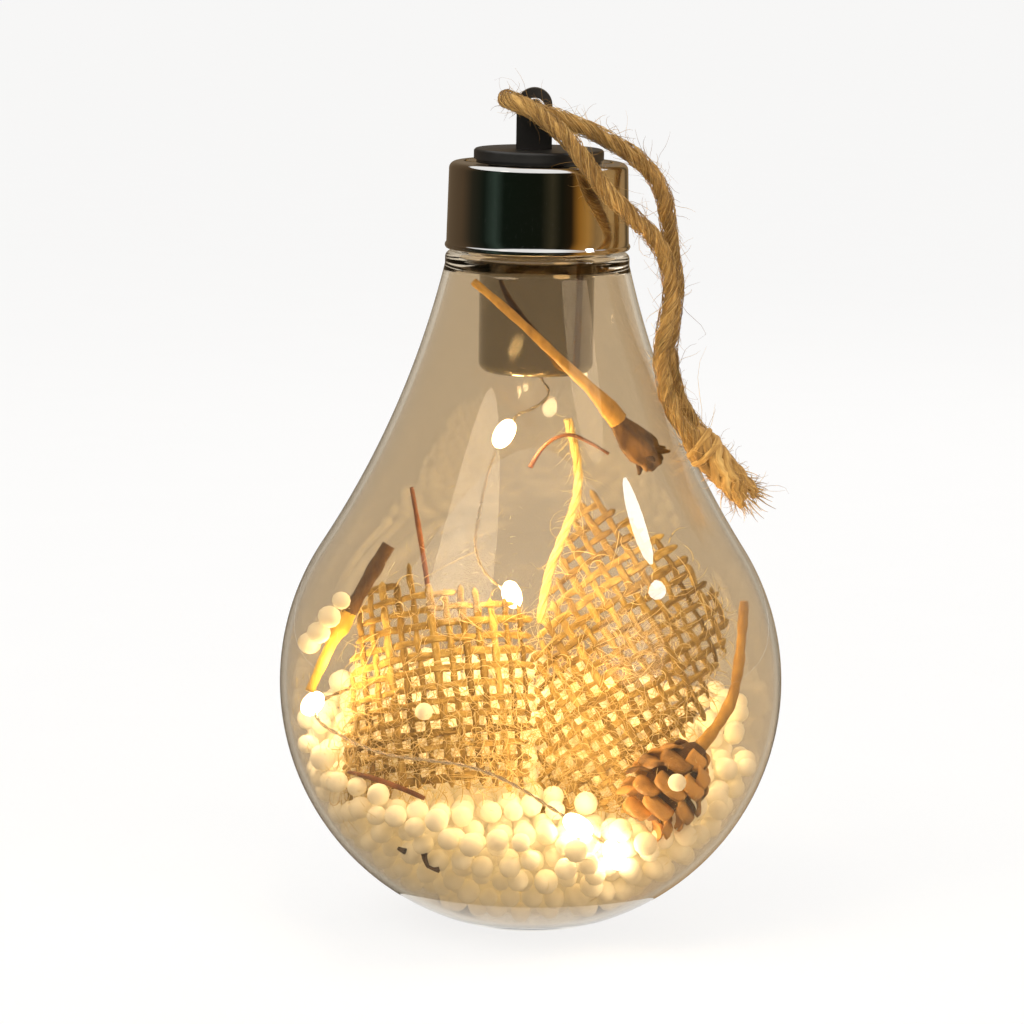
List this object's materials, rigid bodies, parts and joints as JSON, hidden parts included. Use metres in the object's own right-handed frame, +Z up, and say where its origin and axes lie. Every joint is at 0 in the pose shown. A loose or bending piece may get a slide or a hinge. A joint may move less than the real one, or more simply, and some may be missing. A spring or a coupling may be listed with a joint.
{
  "type": "led globe bulb",
  "caption": "Clear globe-shaped ornament bulb with a chrome screw cap and a black twist lid with a hanging eye and jute twine, filled with cloth, beads, a cone and a lamp string.",
  "frame": {"origin": "centre of the flat base that the bulb stands on", "axes": "+Z up along the bulb's axis, -Y towards the viewer, +X to the viewer's right, where the twine hangs"},
  "size_m": [0.08, 0.08, 0.1334],
  "materials": {
    "clear_glass": "clear, polished, faint warm tint",
    "chrome_plate": "bright plated",
    "liner_rubber": "soft foam rubber",
    "board_green": "lacquered board",
    "resistor_body": "lacquered",
    "contact_brass": "bright strip",
    "sleeve_plastic": "moulded",
    "cell_steel": "plated steel can",
    "black_plastic": "black satin",
    "jute_twine": "hairy spun jute",
    "enamelled_wire": "enamelled copper wire",
    "lamp_resin": "clear resin drop, warm light",
    "foam_beads": "expanded foam",
    "burlap_cloth": "open plain weave",
    "cone_bark": "dry scales",
    "golden_stalk": "dry stalk",
    "dark_twig": "dry bark",
    "dry_stem": "dry stem"
  },
  "bodies": {
    "bulb": {"bulb_shell": "clear_glass", "bead_bed": "foam_beads", "loose_beads": "foam_beads", "burlap_left": "burlap_cloth", "burlap_right": "burlap_cloth", "alder_cone": "cone_bark", "main_stalk": "golden_stalk", "left_twig": "dark_twig", "thin_stem_upper": "dry_stem", "thin_stem_lower": "dry_stem", "jute_yarn": "jute_twine", "dry_sprig": "dry_stem", "led_string": "enamelled_wire", "led_lamp_1": "lamp_resin", "led_lamp_2": "lamp_resin", "led_lamp_3": "lamp_resin", "led_lamp_4": "lamp_resin", "led_lamp_5": "lamp_resin"},
    "lead": {"led_lead": "enamelled_wire"},
    "cap": {"screw_cap": "chrome_plate", "cap_liner": "liner_rubber", "battery_cup": "chrome_plate", "circuit_board": "board_green", "resistor": "resistor_body", "cell_contact": "contact_brass", "cell_sleeve": "sleeve_plastic", "contact_strip": "contact_brass", "button_cell_1": "cell_steel", "button_cell_2": "cell_steel", "button_cell_3": "cell_steel"},
    "lid": {"hook_lid": "black_plastic", "lid_contact": "contact_brass", "twine_front_leg": "jute_twine", "twine_back_leg": "jute_twine", "twine_knot": "jute_twine"}
  },
  "joints": [
    {"name": "cap_rise", "type": "slide", "parent": "bulb", "child": "lead", "axis": [0, 0, 1], "range_m": [0, 0.00376], "deforming": ["led_lead"]},
    {"name": "cap_turn", "type": "hinge", "parent": "lead", "child": "cap", "pos_m": [0, 0, 0.1218], "axis": [0, 0, 1], "range_deg": [0, 450]},
    {"name": "lid_turn", "type": "hinge", "parent": "cap", "child": "lid", "pos_m": [0, 0, 0.1218], "axis": [0, 0, 1], "range_deg": [-60, 0]}
  ],
  "couplings": [
    {"joint": "cap_rise", "follows": "cap_turn", "m_per_rad": 0.00047746}
  ]
}
